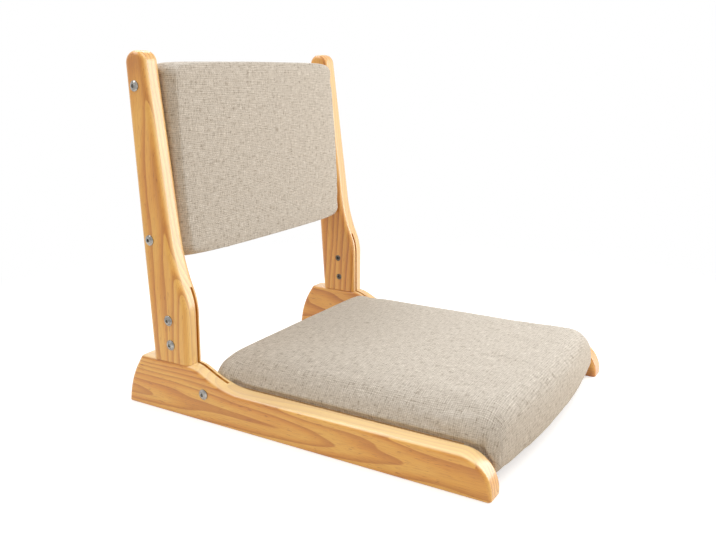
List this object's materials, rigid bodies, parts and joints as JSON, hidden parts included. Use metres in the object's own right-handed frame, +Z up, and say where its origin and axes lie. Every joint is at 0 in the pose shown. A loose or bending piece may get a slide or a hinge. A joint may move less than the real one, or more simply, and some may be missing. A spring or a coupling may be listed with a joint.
{
  "type": "folding floor chair",
  "caption": "Low folding floor chair: pine side rails on the floor, a cushioned seat, and a cushioned backrest between pine posts that hinge forward over the seat.",
  "frame": {"origin": "on the floor, under the middle of the chair's length and width", "axes": "+Z up, the seat's front at -Y, the sitter's left at +X"},
  "size_m": [0.406, 0.4878, 0.427],
  "materials": {
    "rail_pine": "clear satin lacquer on planed pine",
    "post_pine": "clear satin lacquer on planed pine",
    "bar_pine": "planed pine, unfinished",
    "birch_plywood": "sanded plywood",
    "seat_fabric": "plain-weave linen-look upholstery, heathered greige",
    "foam": "open-cell upholstery foam",
    "dust_cloth": "spunbonded non-woven",
    "plate_steel": "zinc-plated sheet steel",
    "bolt_steel": "bright nickel plate",
    "nut_steel": "plain steel",
    "screw_steel": "yellow zinc plate",
    "dowel_beech": "fluted beech"
  },
  "bodies": {
    "base": {"right_rail": "rail_pine", "left_rail": "rail_pine", "right_pivot_bolt": "bolt_steel", "left_pivot_bolt": "bolt_steel", "right_pivot_nut": "nut_steel", "left_pivot_nut": "nut_steel", "rear_crossbar": "bar_pine", "front_crossbar": "bar_pine", "crossbar_dowels": "dowel_beech", "seat_board": "birch_plywood", "seat_nose_bar": "bar_pine", "seat_board_screws": "screw_steel", "seat_foam": "foam", "seat_cover": "seat_fabric", "seat_dust_cover": "dust_cloth"},
    "back": {"right_post": "post_pine", "right_hinge_plate": "plate_steel", "right_plate_bolts": "bolt_steel", "right_plate_nuts": "nut_steel", "right_back_bolts": "bolt_steel", "left_post": "post_pine", "left_hinge_plate": "plate_steel", "left_plate_bolts": "bolt_steel", "left_plate_nuts": "nut_steel", "left_back_bolts": "bolt_steel", "back_top_crossbar": "bar_pine", "back_bottom_crossbar": "bar_pine", "back_stiles": "bar_pine", "back_barrel_nuts": "nut_steel", "back_board": "birch_plywood", "back_board_screws": "screw_steel", "back_foam": "foam", "back_cover": "seat_fabric", "back_rear_panel": "seat_fabric"}
  },
  "joints": [
    {"name": "back_fold", "type": "hinge", "parent": "base", "child": "back", "pos_m": [0, 0.1206, 0.0336], "axis": [1, 0, 0], "range_deg": [0, 88]}
  ]
}
